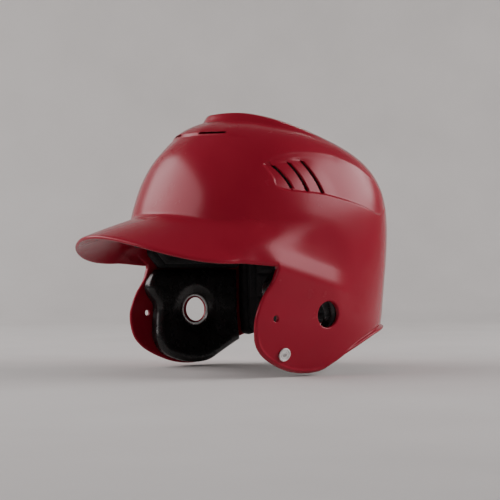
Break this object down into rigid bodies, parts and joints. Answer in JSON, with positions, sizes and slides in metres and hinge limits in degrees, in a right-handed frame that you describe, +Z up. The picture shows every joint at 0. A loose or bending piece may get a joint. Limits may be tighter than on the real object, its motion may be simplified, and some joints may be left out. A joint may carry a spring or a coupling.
{
  "type": "batting helmet",
  "caption": "Hard-shell ball sports helmet with a front peak, ear flaps, vent slots, a raised crown ridge and a padded foam inside.",
  "frame": {"origin": "midpoint between the centres of the two ear holes", "axes": "+Z up, the helmet faces -Y (the peak points along -Y), the wearer's left is +X"},
  "size_m": [0.1956, 0.2851, 0.2204],
  "materials": {
    "shell_plastic": "semi-gloss deep red injection-moulded plastic",
    "impact_foam": "matt black closed-cell foam",
    "comfort_foam": "black foam pad with a smooth skin",
    "ear_pad_skin": "glossy black moulded foam skin",
    "snap_metal": "white lacquered pressed steel",
    "rivet_metal": "plated steel"
  },
  "bodies": {
    "root": {"shell": "shell_plastic", "front_liner": "impact_foam", "crown_liner": "impact_foam", "rear_liner": "impact_foam", "left_side_liner": "impact_foam", "right_side_liner": "impact_foam", "front_pad": "comfort_foam", "crown_pad": "comfort_foam", "left_side_pad": "comfort_foam", "right_side_pad": "comfort_foam", "left_rear_pad": "comfort_foam", "right_rear_pad": "comfort_foam", "left_ear_pad": "ear_pad_skin", "right_ear_pad": "ear_pad_skin", "left_snap_stud": "snap_metal", "left_snap_rivet": "rivet_metal", "left_snap_washer": "rivet_metal", "right_snap_stud": "snap_metal", "right_snap_rivet": "rivet_metal", "right_snap_washer": "rivet_metal"}
  },
  "joints": []
}
